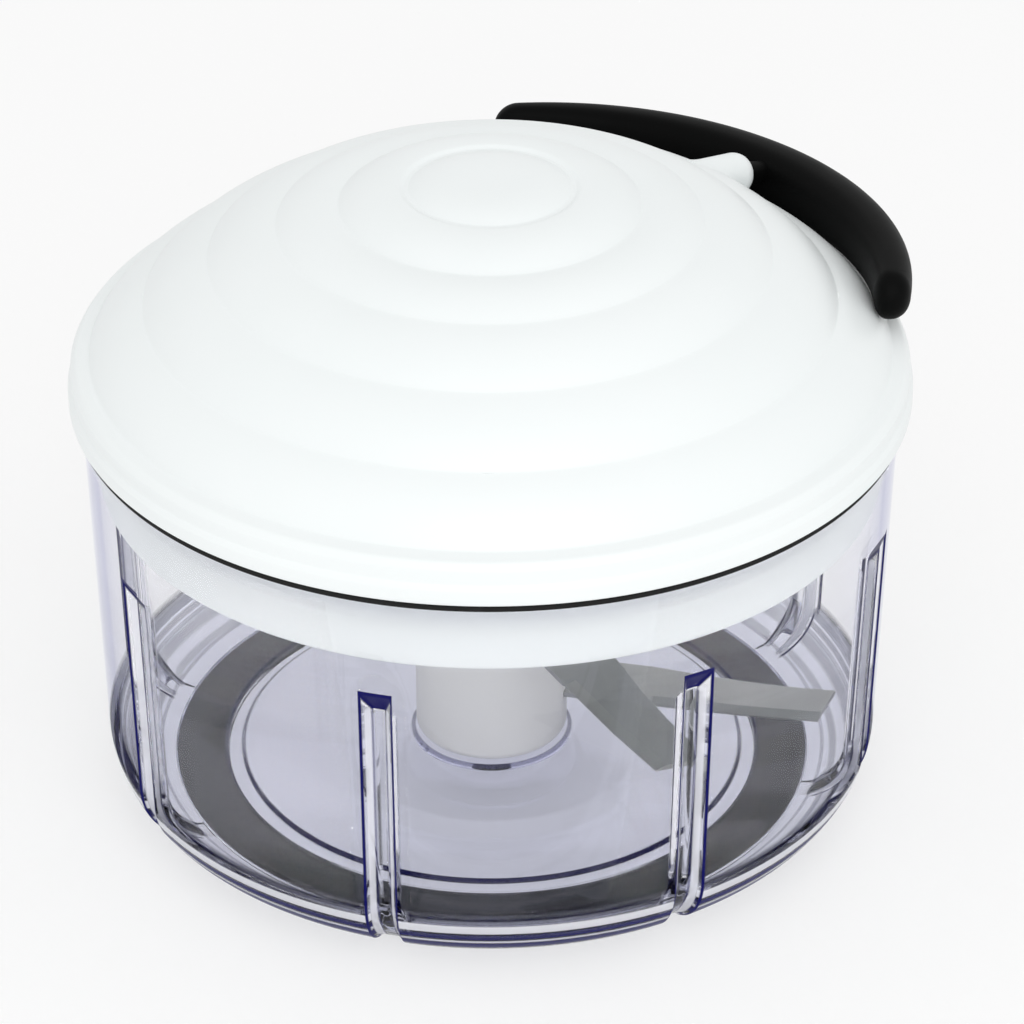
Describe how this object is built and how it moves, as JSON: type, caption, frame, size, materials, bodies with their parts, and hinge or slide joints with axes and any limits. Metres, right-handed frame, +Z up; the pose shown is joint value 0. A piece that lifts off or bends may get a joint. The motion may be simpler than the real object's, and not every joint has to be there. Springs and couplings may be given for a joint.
{
  "type": "pull-cord food chopper",
  "caption": "Hand-powered food chopper: a clear fluted bowl with stacked turning blades, and a white domed lid whose black grip pulls a sprung cord that spins them.",
  "frame": {"origin": "middle of the surface that the anti-slip ring stands on", "axes": "+Z up along the axis of bowl, blades and lid; the reference view looks along +Y; the cord leaves between +X and +Y"},
  "size_m": [0.1603, 0.1603, 0.1292],
  "materials": {
    "clear_bowl": "clear moulded plastic with a faint violet tint",
    "soft_grey_rubber": "matt dark grey",
    "steel": "plain steel",
    "blade_steel": "stainless, finely ground",
    "white_plastic": "smooth, softly glossy white",
    "ivory_plastic": "plain moulded",
    "black_rubber": "matt black",
    "black_plastic": "soft black, slightly glossy",
    "cord": "braided, off-white"
  },
  "bodies": {
    "bowl": {"bowl": "clear_bowl", "anti_slip_ring": "soft_grey_rubber", "blade_pivot_pin": "steel"},
    "blade_unit": {"blade_hub": "white_plastic", "blade_upper": "blade_steel", "blade_middle": "blade_steel", "blade_lower": "blade_steel"},
    "lid": {"lid_base": "white_plastic", "lid_seal": "black_rubber", "dome_cover": "white_plastic", "cord_guide_bush": "ivory_plastic", "dome_screw_1": "steel", "dome_screw_2": "steel", "dome_screw_3": "steel", "dome_screw_4": "steel", "recoil_spring": "steel", "spring_cover": "ivory_plastic", "spring_cover_screw_1": "steel", "spring_cover_screw_2": "steel", "spring_cover_screw_3": "steel", "cord_run": "cord"},
    "pulley": {"drive_spindle": "ivory_plastic", "cord_pulley": "ivory_plastic", "pulley_flange": "ivory_plastic", "retaining_washer": "steel", "retaining_screw": "steel", "wound_cord": "cord"},
    "handle": {"handle_grip": "black_plastic", "knot_cap": "black_plastic", "pull_cord_end": "cord"}
  },
  "joints": [
    {"name": "lid_lift", "type": "slide", "parent": "bowl", "child": "lid", "axis": [0, 0, 1], "range_m": [0, 0.1]},
    {"name": "handle_pull", "type": "slide", "parent": "lid", "child": "handle", "axis": [0.7071, 0.7071, 0], "range_m": [0, 0.5], "stiffness_N_per_m": 12, "springref_m": -0.3},
    {"name": "pulley_spin", "type": "hinge", "parent": "lid", "child": "pulley", "pos_m": [0, 0, 0.1], "axis": [0, 0, 1], "range_deg": [-1520, 0]},
    {"name": "blade_spin", "type": "hinge", "parent": "bowl", "child": "blade_unit", "pos_m": [0, 0, 0.03], "axis": [0, 0, 1], "range_deg": [-1520, 0]}
  ],
  "couplings": [
    {"joint": "pulley_spin", "follows": "handle_pull", "rad_per_m": -52.91},
    {"joint": "blade_spin", "follows": "handle_pull", "rad_per_m": -52.91}
  ]
}
